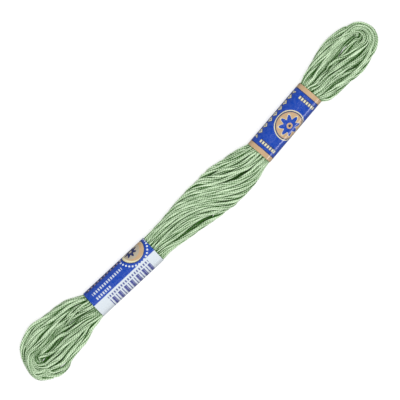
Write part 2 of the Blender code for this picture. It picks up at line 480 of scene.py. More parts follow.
@dataclass
class FlossWinding:
    """The path of the whole thread: every turn up one leg, round a loop, down the other and round again."""

    turns: int = 24
    tightest: float = 1.05  # between neighbouring turns
    loosest: float = 1.68
    swelling: float = 0.1  # extra spacing while the turns find their places, so that they fill the bundle
    step: float = 1.0  # between places along a leg
    bend_steps: int = 18
    wander: float = 0.07  # of a turn's place in the bundle, as a share of a leg's half height
    wander_knots: int = 11
    closeness: float = 0.92  # of the thread's width to the spacing
    thinnest: float = 0.5  # radius of the thread
    thickest: float = 0.92
    uneven: float = 0.05  # how much one turn's radius differs from the next one's, as a share
    tuck: float = 0.5  # how near to the middle of an eye the lowest turn comes, as a share of its radius
    crossed: float = 1.2  # how far low turns of the wide leg cross the middle of the upper eye, in eye widths
    lower_drawn: float = 3.5  # how far from the lowest turn others follow it under the lower eye
    upper_drawn: float = 10.0  # and under the upper one
    longest_draw: float = 5.0
    snug: float = 0.8  # how near to the eye's edge a turn's middle may lie, in radii of the thread
    sag: float = 0.06  # how far the lowest, innermost turns slide in under the eye at each push
    squeeze: float = 0.16  # how much thinner the thread is inside a sleeve
    clearance: float = 0.08  # of the turns off the floor, for strands that stray
    stiffest: int = 20  # how often a turn's sideways shift is spread along it at each push, at first
    slackest: int = 10  # and at the end
    smoothings: int = 3  # after the pushes, which leave small kinks
    last_passes: int = 8  # of each smoothing along the thread
    swell_passes: int = 40  # how often the thread's change of width is spread along it
    eager: float = 1.4  # how much further than it needs a turn is pushed
    yielding: float = 0.36  # the share of an overlap that each of two turns gives way at one push
    last_rounds: float = 0.97  # the share of the rounds after which kinks are taken out point by point
    rounds: int = 400
    slot_rounds: int = 400
    slot_size: float = 1.04  # how much more room than its share each turn asks for in the packing
    slot_yielding: float = 0.4  # the share of an overlap that each gives way there
    chord_turn: float = 0.22  # radians that the thread may bend between two of its points
    finest_step: float = 0.55
    longest_step: float = 1.35
    hidden_step: float = 3.0
    gaps: tuple[Gap, ...] = (
        Gap(start=(9.0, -1.6), end=(21.0, -4.5), width=0.9),
        Gap(start=(-18.0, -4.2), end=(-1.0, -5.2), width=1.0),
    )
    leans: tuple[Lean, ...] = (
        Lean(x=-73.0, reach=3.0, start=2.0, full=8.0, sideways=0.5),
        Lean(x=-82.0, reach=2.0, start=2.0, full=6.0, sideways=-0.4),
        Lean(x=-77.0, reach=5.5, start=-3.0, full=-8.0, sideways=-1.5),
        Lean(x=9.0, reach=9.0, start=-3.0, full=-8.0, sideways=-0.5),
        Lean(x=76.0, reach=5.0, start=-3.0, full=5.0, sideways=0.35),
        Lean(x=72.0, reach=6.0, start=0.0, full=-6.0, sideways=-1.0),
    )
    swung: float = 3.0  # how far the tip of the lower loop swings towards -Y
    dropped: float = 0.7  # and its -Y side out past the end
    slump: Slump = Slump(start=-68.5, full=-74.5, sideways=-2.8, past_end=0.8, level=2.7)

    def __post_init__(self) -> None:
        """Sets up the places along the legs and the random numbers."""
        self.random = np.random.default_rng(SEED)
        count = round((UPPER_END.x - LOWER_END.x) / self.step)
        self.x = np.linspace(LOWER_END.x, UPPER_END.x, count + 1)
        self.sections = Sections(self.x)
        self.leg_count = len(self.x)
        self.bend_count = self.bend_steps - 1
        self.leg_spacing = [self.room(self.sections, side) for side in (1, -1)]

    def room(self, section: Sections, side: int) -> np.ndarray:
        """How far apart a leg's turns lie when they fill its section evenly.

        Args:
            section: the bundle's sections.
            side: 1 for the first leg and -1 for the second.

        Returns:
            The spacing at each section.
        """
        _, size = section.oval(side)
        share = section.far(side) / (section.far(1) + section.far(-1))
        return self.even_spacing(math.pi * size[:, 0] * size[:, 1] * share - section.values["eye"] * size[:, 1])

    def even_spacing(self, area: np.ndarray) -> np.ndarray:
        """The spacing of the turns when they fill an area evenly."""
        return np.clip(np.sqrt(2 * area / (math.sqrt(3) * self.turns)) * 0.96, self.tightest, self.loosest)

    def packed_slots(self) -> np.ndarray:
        """Places in a half disc of radius 1, one for each turn, pushed apart until they fill it.

        Returns:
            The places, each turn's next to the last one's.
        """
        size = 2.0 * math.sqrt(math.pi / 2 / self.turns / (2 * math.sqrt(3)))
        angle = self.random.uniform(-math.pi / 2, math.pi / 2, self.turns)
        radius = np.sqrt(self.random.uniform(0, 1, self.turns))
        slots = np.stack([radius * np.cos(angle), radius * np.sin(angle)], 1)
        for _ in range(self.slot_rounds):
            away = slots[:, None] - slots[None]
            gap = np.linalg.norm(away, axis=-1) + np.eye(self.turns) * FAR
            push = np.clip(size * self.slot_size - gap, 0, None) / gap * self.slot_yielding
            slots = slots + (away * push[..., None]).sum(1)
            slots[:, 0] = np.maximum(slots[:, 0], size / 2)
            length = np.linalg.norm(slots / (1 - size / 2), axis=1)
            slots /= np.maximum(1, length)[:, None]
        order = [int(np.argmin(np.linalg.norm(slots, axis=1)))]
        while len(order) < self.turns:
            gap = np.linalg.norm(slots - slots[order[-1]], axis=1)
            gap[order] = FAR
            order.append(int(np.argmin(gap)))
        return slots[order]

    def wandering(self, places: int) -> np.ndarray:
        """Slow sideways drift for each turn, by turn and place round the loop."""
        knots = self.random.normal(0, self.wander, (self.turns, self.wander_knots, 2))
        at = np.linspace(0, self.wander_knots, places, endpoint=False)
        low = at.astype(int)
        t = (at - low)[None, :, None]
        t = t * t * (3 - 2 * t)
        return knots[:, low] * (1 - t) + knots[:, (low + 1) % self.wander_knots] * t

    def bend(self, end: LoopEnd, start_leg: tuple, end_leg: tuple, first_side: int) -> np.ndarray:
        """The turns' places round a loop's end.

        Args:
            end: the loop's end.
            start_leg: distances out and up where the turns come in, by turn.
            end_leg: the same where they leave.
            first_side: the leg that they come from.

        Returns:
            Points by turn and step.
        """
        section = Sections(np.array([end.x]))
        outward, upward = section.across[0] * first_side, section.upward[0]
        sides = (first_side, -first_side)
        far_in, far_out = (float(section.far(side)[0]) for side in sides)
        level_in, level_out = (float(section.leg_face(side)[0, 1]) for side in sides)
        height_in, height_out = (float(section.oval(side)[1][0, 1]) for side in sides)
        eye_in = float(section.values["eye"][0])
        angle = math.pi * np.arange(1, self.bend_steps) / self.bend_steps
        swept = (1 - np.cos(angle)) / 2
        across, aside = (far_in + far_out) / 2, (far_out - far_in) / 2
        a = (np.sin(angle) / end.reach) ** 2 + (np.cos(angle) / across) ** 2
        b = aside * np.cos(angle) / across**2
        edge = (np.sqrt(b * b + a * (1 - (aside / across) ** 2)) - b) / a
        eye = 1 / np.hypot(np.sin(angle) / end.eye_reach, np.cos(angle) / eye_in)
        out = start_leg[0][:, None] * (1 - swept) + end_leg[0][:, None] * swept
        up = start_leg[1][:, None] * (1 - swept) + end_leg[1][:, None] * swept
        far = far_in * (1 - swept) + far_out * swept
        level = level_in * (1 - swept) + level_out * swept
        out = eye + (out - eye_in) * (edge - eye) / (far - eye_in)
        closing = 0.5 + 0.5 * np.abs(np.cos(angle))
        closed = section.under_eye * eye * (1 - section.open_above(up * section.sense)) * closing
        out = out - closed * (edge - out) / (edge - eye)
        valley = LOWER_VALLEY if end.heading < 0 else UPPER_VALLEY
        second = swept if first_side > 0 else 1 - swept
        depth = (1 - second * (1 - valley.second)) * (valley.tip + (1 - valley.tip) * np.abs(np.cos(angle)))
        face = np.stack([np.full_like(level, section.face[0, 0]), level], 1)
        flat = face + (out * np.cos(angle))[..., None] * outward + up[..., None] * upward
        along = np.stack([end.heading * np.sin(angle), *(np.cos(angle) * c for c in outward)], 1)
        origin = np.column_stack([np.full_like(level, end.x), face])
        height = height_in * (1 - swept) + height_out * swept
        middle = float(section.values["split"][0]) * -first_side * (1 - 2 * swept)
        size = edge - middle
        self.bend_frames.append(
            BendFrame(
                middle=origin,
                across=along,
                up=np.broadcast_to(np.array([0.0, *upward]), along.shape),
                sense=np.full_like(angle, section.sense[0]),
                eye=eye,
                offset=middle,
                width=size,
                height=height,
                top=level + height,
                spacing=self.even_spacing(math.pi * height * edge / 2 - eye * height),
                closing=closing,
                depth=depth,
                end=end.x,
            )
        )
        return np.concatenate([(end.x + end.heading * out * np.sin(angle))[..., None], flat], -1)

    def first_places(self) -> np.ndarray:
        """Every turn's path before the turns are pressed against each other.

        Returns:
            Points by turn and place round the loop: first leg, upper bend, second leg, lower bend.
        """
        slots = self.packed_slots()
        places = 2 * (self.leg_count + self.bend_count)
        drift = self.wandering(places)
        change = smoothstep(self.x, LOWER.start, LOWER.end)[None, :, None]
        legs = []
        back_start = self.leg_count + self.bend_count
        starts = {1: 0, -1: back_start}
        for side in (1, -1):
            part = drift[:, starts[side] : starts[side] + self.leg_count][:, ::side].copy()
            part[..., 0] *= self.sections.oval(side)[1][:, 1] / self.sections.far(side)
            here = slots[:, None]
            if side > 0:
                here = np.roll(here, 1, axis=0) * (1 - change) + here * change
            legs.append(here + part)
        going, coming = legs
        going_flat = self.sections.place_slots(self.inside_half_disc(going), 1)
        coming_flat = self.sections.place_slots(self.inside_half_disc(coming), -1)
        first, second = self.leg_points(going_flat, 1), self.leg_points(coming_flat, -1)
        self.bend_frames: list[BendFrame] = []
        upper_in = tuple(v[:, -1] for v in going_flat)
        upper_out = tuple(v[:, -1] for v in coming_flat)
        lower_in = tuple(v[:, 0] for v in coming_flat)
        lower_out = tuple(np.roll(v[:, 0], -1, axis=0) for v in going_flat)
        upper = self.bend(UPPER_END, upper_in, upper_out, 1)
        lower = self.bend(LOWER_END, lower_in, lower_out, -1)
        return np.concatenate([first, upper, second[:, ::-1], lower], 1)

    @staticmethod
    def inside_half_disc(slots: np.ndarray) -> np.ndarray:
        """The slots, moved just inside the half disc where drift has taken them out."""
        slots = slots.copy()
        slots[..., 0] = np.maximum(slots[..., 0], 0.03)
        length = np.linalg.norm(slots, axis=-1, keepdims=True)
        return slots * np.minimum(1, 0.97 / np.maximum(length, 1e-9))

    def leg_points(self, flat: tuple[np.ndarray, np.ndarray], side: int) -> np.ndarray:
        """Points of a leg from distances out and up."""
        section = self.sections
        out = flat[0][..., None] * (section.across * side)
        place = section.leg_face(side) + out + flat[1][..., None] * section.upward
        x = np.broadcast_to(self.x, place.shape[:2])
        return np.concatenate([x[..., None], place], -1)

    def press(self, path: np.ndarray) -> np.ndarray:
        """Presses the turns apart, keeps them in the bundle's form and evens out their bends.

        Args:
            path: points by turn and place.

        Returns:
            The same, settled.
        """
        aim = path.copy()
        for number in range(self.rounds):
            done = number / self.rounds
            swollen = 1 + self.swelling * max(0.3, 1 - done / 0.75)
            push = self.settled_once(path, swollen) - path
            if done > self.last_rounds:
                path = self.even(path + push)
                continue
            passes = round(self.stiffest + (self.slackest - self.stiffest) * done)
            path = aim + self.spread(path + self.spread(push) * self.eager - aim, passes)
        for _ in range(self.smoothings):
            path = self.settled_once(aim + self.spread(path - aim, self.last_passes), 0.0)
        return path

    def settled_once(self, path: np.ndarray, swollen: float) -> np.ndarray:
        """The turns after one push apart and back into the bundle's form."""
        both = (self.leg_spacing[0] + self.leg_spacing[1]) / 2 * swollen
        legs, bends = self.parted(path)
        legs = self.apart(legs, both, np.array([1.0, 0.0, 0.0]))
        for gap in self.gaps:
            legs = self.opened(legs, gap)
        legs = self.hold_legs(legs)
        for number, form in enumerate(self.bend_frames):
            along = np.cross(form.across, form.up)
            bends[number] = self.hold(self.apart(bends[number], form.spacing * swollen, along), form)
        return self.joined(legs, bends)

    def parted(self, path: np.ndarray) -> tuple[np.ndarray, list[np.ndarray]]:
        """The loops cut into legs, all of them in the direction of X, and into upper and lower bends."""
        n, bend = self.leg_count, self.bend_count
        legs = np.concatenate([path[:, :n], path[:, n + bend : 2 * n + bend][:, ::-1]])
        return legs, [path[:, n : n + bend], path[:, 2 * n + bend :]]

    def joined(self, legs: np.ndarray, bends: list[np.ndarray]) -> np.ndarray:
        """The loops put together again from their legs and bends."""
        return np.concatenate([legs[: self.turns], bends[0], legs[self.turns :][:, ::-1], bends[1]], 1)

    @staticmethod
    def spread(push: np.ndarray, passes: int = 6) -> np.ndarray:
        """Spreads a push along the thread, which is too stiff to give at one point alone."""
        chain = push.reshape(-1, 3)
        for _ in range(passes):
            chain = (np.roll(chain, 1, axis=0) + np.roll(chain, -1, axis=0)) / 4 + chain / 2
        return chain.reshape(push.shape)

    def apart(self, points: np.ndarray, spacing: np.ndarray, along: np.ndarray) -> np.ndarray:
        """Pushes turns that overlap at the same place apart, in the section that stands square to the thread."""
        points = points.astype(np.float32)
        away = points[:, None] - points[None]
        away = away - (away * along).sum(-1, keepdims=True) * along
        gap = np.sqrt((away * away).sum(-1))
        gap[np.arange(len(points)), np.arange(len(points))] = FAR
        push = np.clip(spacing - gap, 0, None) / np.maximum(gap, 0.05) * self.yielding
        return points + (away * push[..., None]).sum(1)

    def opened(self, legs: np.ndarray, gap: Gap) -> np.ndarray:
        """Moves the upper turns off a gap, to the side that they are on."""
        t = np.clip((self.x - gap.start[0]) / (gap.end[0] - gap.start[0]), 0, 1)
        line = gap.start[1] + (gap.end[1] - gap.start[1]) * t
        half = np.sin(t * math.pi) * (gap.width + self.loosest) / 2
        at = int(np.argmin(np.abs(t - 0.5)))
        side = np.where(legs[:, at, 1] < line[at], -1, 1)[:, None]
        high = smoothstep(legs[:, at, 2], gap.bottom, gap.bottom + 1.0)[:, None]
        short = np.clip(half - (legs[..., 1] - line) * side, 0, self.loosest) * (half > 0.1)
        legs[..., 1] += short * side * high * 0.5
        return legs

    def hold_legs(self, legs: np.ndarray) -> np.ndarray:
        """Keeps the legs' turns in the bundle's oval, off the floor and clear of the eye."""
        section = self.sections
        eye = section.values["eye"]
        for number, side in enumerate((1, -1)):
            part = slice(number * self.turns, (number + 1) * self.turns)
            half = self.radius(self.leg_spacing[number])
            middle, size = section.oval(side)
            inner = size - half[:, None]
            place = (legs[part, :, 1:] - middle) / inner
            place /= np.maximum(np.linalg.norm(place, axis=-1, keepdims=True), 1.0)
            legs[part, :, 1:] = middle + place * inner
            away = legs[part, :, 1:] - section.leg_face(side)
            out, up = (away * section.across * side).sum(-1), (away * section.upward).sum(-1)
            rise = up * section.sense
            clear = (eye + half * self.snug) * section.open_above(rise)
            short = np.where(eye > 0.05, np.clip(clear - out, 0, None) - self.sunk(out, rise, half), 0.0)
            legs[part, :, 1:] += short[..., None] * section.across * side
            floor = section.values["under"] + half + self.clearance
            top = middle[:, 1] + size[:, 1] - half
            for valley, here in ((LOWER_VALLEY, self.x < 0), (UPPER_VALLEY, self.x > 0)):
                share = here * (1.0 if side > 0 else valley.second)
                top = top - valley.fall(self.x, out + short, share)
            legs[part, :, 2] = np.clip(legs[part, :, 2], floor, np.maximum(top, floor + 0.2))
        legs[..., 0] = self.x
        return legs

    def sunk(self, out: np.ndarray, rise: np.ndarray, half: np.ndarray) -> np.ndarray:
        """How far turns slide in under the eye in one push: only low ones that lie next to it."""
        near = (1 - smoothstep(out, 1.0, 2.6)) * (1 - Sections.open_above(rise))
        return np.clip(out - half * self.snug, 0, self.sag) * near

    def radius(self, spacing: np.ndarray) -> np.ndarray:
        """The thread's radius where its turns lie this far apart."""
        return np.clip(spacing * 0.5 * self.closeness, self.thinnest, self.thickest)

    def hold(self, points: np.ndarray, form: BendFrame) -> np.ndarray:
        """Keeps the turns of a bend in its oval, off the floor and clear of the eye, as in the legs."""
        half = self.radius(form.spacing)
        away = points - form.middle
        out, up = (away * form.across).sum(-1), (away * form.up).sum(-1)
        u, v = (out - form.offset) / (form.width - half), up / (form.height - half)
        over = np.maximum(np.hypot(u, v), 1.0)
        out, up = form.offset + u / over * (form.width - half), v / over * (form.height - half)
        opened = 1 - form.closing * (1 - Sections.open_above(up * form.sense))
        held = np.maximum(out, (form.eye + half * self.snug) * opened)
        points = form.middle + held[..., None] * form.across + up[..., None] * form.up
        valley = LOWER_VALLEY if form.end < 0 else UPPER_VALLEY
        top = form.top - half - valley.fall(form.end, held, form.depth)
        points[..., 2] = np.clip(points[..., 2], half + self.clearance, np.maximum(top, half + 0.3))
        return points

    @staticmethod
    def even(path: np.ndarray) -> np.ndarray:
        """Takes small kinks out of the thread without pulling its loops in."""
        chain = path.reshape(-1, 3)
        for share in (0.34, -0.345):
            middle = (np.roll(chain, 1, axis=0) + np.roll(chain, -1, axis=0)) / 2
            chain = chain + (middle - chain) * share
        return chain.reshape(path.shape)

    def thread_path(self) -> np.ndarray:
        """The whole thread from end to end, both ends hidden in the lower sleeve.

        Returns:
            Points in order along the thread, each with the thread's radius there.
        """
        settled = self.slumped(self.tucked(self.press(self.first_places())))
        varied = self.fullness(settled) * self.random.normal(1, self.uneven, (self.turns, 1))
        lowest = varied * 1.12 + 0.05  # strands stray a little past the radius, and stay off the floor
        settled[..., 2] = np.maximum(settled[..., 2], lowest)
        chain = np.concatenate([settled.reshape(-1, 3), varied.reshape(-1, 1)], 1)
        middle = (LOWER.start + LOWER.end) / 2
        cut = int(np.argmin(np.abs(self.x - middle)))
        chain = np.roll(chain, -cut, axis=0)[:-3]
        return self.resampled(chain)

    def tucked(self, settled: np.ndarray) -> np.ndarray:
        """The turns with those that lie lowest beside an eye drawn in under it, so that no floor shows there.

        Args:
            settled: points by turn and place.

        Returns:
            The same, with the low turns moved.
        """
        n, bend_count, places = self.leg_count, self.bend_count, settled.shape[1]
        settled = settled.copy()
        for upper, form in zip((True, False), self.bend_frames):
            bend = n if upper else 2 * n + bend_count
            frames = []
            for side in (1, -1) if upper else (-1, 1):
                frames.append([part[::side] for part in self.leg_frame(side)])
            turned = (form.middle, form.across, form.up, form.sense, form.eye)
            first, second = frames
            face, across, up, sense, eye = (np.concatenate(parts) for parts in zip(first, turned, second))
            at = np.arange(bend - n, bend + bend_count + n) % places
            points = np.take(settled, at, axis=1)
            if not upper:
                points[:, -n:] = np.roll(points[:, -n:], -1, axis=0)
            away = points - face
            out, rise = (away * across).sum(-1), (away * up).sum(-1) * sense
            low = smoothstep(1 - Sections.open_above(rise), 0.05, 0.45)
            nearest = (out + 6.0 * (1 - low)).min(0)
            goal = self.thinnest * self.tuck + (self.crossed * eye * across[:, 1] if upper else 0.0)
            short = np.clip(nearest - goal, 0, self.longest_draw) * smoothstep(eye, 0.0, 0.5)
            short = np.convolve(np.pad(short, 3, "edge"), np.ones(7) / 7, "valid")
            followed = self.upper_drawn if upper else self.lower_drawn
            points -= (short * low * (1 - smoothstep(out - nearest, 0.0, followed)))[..., None] * across
            if not upper:
                points[:, -n:] = np.roll(points[:, -n:], 1, axis=0)
            settled[:, at] = points
        return settled

    def leg_frame(self, side: int) -> tuple[np.ndarray, ...]:
        """A leg's face, its outward and upward directions, their sense and the eye, by place along X."""
        section, none = self.sections, np.zeros(self.leg_count)
        face = np.column_stack([self.x, section.leg_face(side)])
        across = np.column_stack([none, section.across * side])
        return face, across, np.column_stack([none, section.upward]), section.sense, section.values["eye"]

    def slumped(self, settled: np.ndarray) -> np.ndarray:
        """The turns, the lowest of the lower loop slid out sideways and all of them leaned to the real outline.

        Args:
            settled: points by turn and place.

        Returns:
            The same, moved.
        """
        slump, n, bend = self.slump, self.leg_count, self.bend_count
        end = settled[:, n + bend : 2 * n + bend][:, -8:]
        low = 1 - smoothstep(end[..., 2].mean(1), slump.level - 0.8, slump.level)
        along = smoothstep(-settled[..., 0], -slump.start, -slump.full)
        outer = 1 - smoothstep(settled[..., 1], -7.0, 0.0)
        settled = settled.copy()
        settled[..., 0] -= slump.past_end * smoothstep(-settled[..., 0], 79.0, 84.0) * low[:, None] * outer
        settled[..., 1] += slump.sideways * along * low[:, None] * outer
        x, y = settled[..., 0].copy(), settled[..., 1].copy()
        settled[..., 0] -= self.dropped * smoothstep(-x, 80.0, 84.0) * (1 - smoothstep(y, -3.0, 4.0))
        settled[..., 1] -= self.swung * (np.clip(-80.0 - x, 0, 5) / 5) ** 2
        for lean in self.leans:
            near = np.exp(-(((x - lean.x) / lean.reach) ** 2))
            settled[..., 1] += lean.sideways * near * smoothstep(y, lean.start, lean.full)
        return settled

    def fullness(self, settled: np.ndarray) -> np.ndarray:
        """The thread's radius at each place of each turn: squeezed in the sleeves, slack where it has room."""
        legs, bends = self.parted(settled)
        room = self.joined(self.room_between(legs), [self.room_between(part) for part in bends]).ravel()
        for _ in range(self.swell_passes):
            room = (np.roll(room, 1) + np.roll(room, -1)) / 4 + room / 2
        full = self.radius(room).reshape(self.turns, -1)
        bend = self.bend_count
        hidden = np.concatenate([self.x, np.full(bend, UPPER_END.x), self.x[::-1], np.full(bend, LOWER_END.x)])
        for fit in (LOWER, UPPER):
            inside = smoothstep(hidden, fit.start, fit.start + 3) * (1 - smoothstep(hidden, fit.end - 3, fit.end))
            full = full * (1 - self.squeeze * inside)
        return full

    @staticmethod
    def room_between(points: np.ndarray) -> np.ndarray:
        """Each turn's mean distance to its three nearest neighbours at the same place."""
        gap = np.linalg.norm(points[:, None] - points[None], axis=-1)
        return np.sort(gap, axis=1)[:, 1:4].mean(1)

    def resampled(self, chain: np.ndarray) -> np.ndarray:
        """The chain on a smooth curve, with close points where it bends and few where paper hides it."""
        before = np.vstack([2 * chain[:1] - chain[1:2], chain[:-1]])
        after = np.vstack([chain[1:], 2 * chain[-1:] - chain[-2:-1]])
        slope = (after - before) / 2
        fine = np.empty((4 * len(chain) - 3, 4))
        fine[::4] = chain
        for number in (1, 2, 3):
            t = number / 4
            fine[number::4] = (
                chain[:-1] * (1 + 2 * t) * (1 - t) ** 2
                + slope[:-1] * t * (1 - t) ** 2
                + chain[1:] * t * t * (3 - 2 * t)
                - slope[1:] * t * t * (1 - t)
            )
        edge = np.diff(fine[:, :3], axis=0)
        size = np.linalg.norm(edge, axis=1)
        heading = edge / size[:, None]
        bending = np.linalg.norm(np.diff(heading, axis=0), axis=1) / size[1:]
        bending = np.convolve(np.concatenate([bending[:1], bending]), np.ones(5) / 5, "same")
        step = np.clip(self.chord_turn / np.maximum(bending, 1e-6), self.finest_step, self.longest_step)
        x = fine[1:, 0]
        for fit in (LOWER, UPPER):
            step = np.where((x > fit.start + 3) & (x < fit.end - 3), self.hidden_step, step)
        count = np.concatenate([[0], np.cumsum(size / step)])
        at = np.linspace(0, count[-1], round(count[-1]) + 1)
        return np.stack([np.interp(at, count, fine[:, c]) for c in range(4)], 1)


@dataclass(frozen=True)
class MercerisedCotton:
    """Six-strand cotton floss, spun, plied, laid together and mercerised.

    Mercerising swells the fibre and gives it a soft silky sheen. Each strand shows the short
    slanting ticks of its two plies. They are 0.45 mm apart in truth, and drawn at 0.85 mm to show.
    """

    light: str = "#DEF5D1"
    # deep is the dye's darker tone for the slow drift and each strand's own tone. It is also the painted shade between
    # strands, in the ply grooves and where little sky reaches.
    deep: str = "#30611A"
    roughness: float = 0.46
    ply_pitch: float = 0.85
    ply_depth_m: float = 0.00005
    painted_shade_reach_m: float = 0.0032  # reach of the occlusion that darkens the colour between strands and turns: painted shade
    strand_lead: float = 0.37  # of a tick, by which each strand's ticks lie further on
    drift_scale: float = 260.0  # of the slow change of shade, to a metre

    def material(self) -> bpy.types.Material:
        """The floss as a material that reads millimetres along a strand and turns around it."""
        made, tree, shader = new_material("mercerised_cotton_floss")
        lay = add_node(tree, "ShaderNodeUVMap", uv_map=LAY_MAP).outputs["UV"]
        along, around = add_node(tree, "ShaderNodeSeparateXYZ", {0: lay}).outputs[:2]
        strand, crest = (
            add_node(tree, "ShaderNodeAttribute", attribute_name=name).outputs["Fac"] for name in ("strand", "crest")
        )
        # The plies' ticks: a bump, and their low phase also darkens the colour as painted shade in the ply grooves.
        steps = add_node(tree, "ShaderNodeMath", {0: along, 1: 1 / self.ply_pitch}, operation="MULTIPLY").outputs[0]
        total = add_node(tree, "ShaderNodeMath", {0: steps, 1: around}, operation="ADD").outputs[0]
        begun = add_node(
            tree, "ShaderNodeMath", {0: strand, 1: self.strand_lead, 2: total}, operation="MULTIPLY_ADD"
        ).outputs[0]
        phase = add_node(tree, "ShaderNodeMath", {0: begun, 1: 2 * math.pi}, operation="MULTIPLY").outputs[0]
        ticks = add_node(tree, "ShaderNodeMath", {0: phase}, operation="SINE").outputs[0]
        place = add_node(tree, "ShaderNodeTexCoord").outputs["Object"]
        cloud = {"Vector": place, "Scale": self.drift_scale, "Detail": 3.0, "Roughness": 0.6}
        drift = add_node(tree, "ShaderNodeTexNoise", cloud).outputs["Fac"]
        own = add_node(tree, "ShaderNodeTexWhiteNoise", {"W": strand}, noise_dimensions="1D").outputs["Value"]
        # The share of open sky that the ambient occlusion finds. Where it is small the colour is darkened, as painted
        # shade.
        reach = {"Distance": self.painted_shade_reach_m}
        open_sky = add_node(tree, "ShaderNodeAmbientOcclusion", reach, samples=6).outputs["AO"]
        # Shares of the deep colour. The slow drift and each strand's own tone are the dye's. The ticks' low phase, the
        # strands' inner sides (low crest) and places with little open sky are painted shade.
        ranges = [
            (drift, 0.4, 0.7, 0.0, 0.14),
            (ticks, -1.0, 0.2, 0.36, 0.0),
            (own, 0.0, 1.0, 0.0, 0.15),
            (crest, 0.8, 0.98, 0.45, 0.0),
            (open_sky, 0.12, 0.80, 1.0, 0.0),
        ]
        dyed_and_shaded = {"Factor": add_ranges(tree, ranges, "ADD"), 6: srgb(self.light), 7: srgb(self.deep)}
        colour = add_node(tree, "ShaderNodeMix", dyed_and_shaded, data_type="RGBA").outputs[2]
        tree.links.new(colour, shader.inputs["Base Color"])
        bump = add_node(tree, "ShaderNodeBump", {"Height": ticks, "Distance": self.ply_depth_m, "Strength": 0.8})
        tree.links.new(bump.outputs["Normal"], shader.inputs["Normal"])
        shader.inputs["Roughness"].default_value = self.roughness
        shader.inputs["Sheen Weight"].default_value = 0.08
        shader.inputs["Sheen Roughness"].default_value = 0.4
        return made


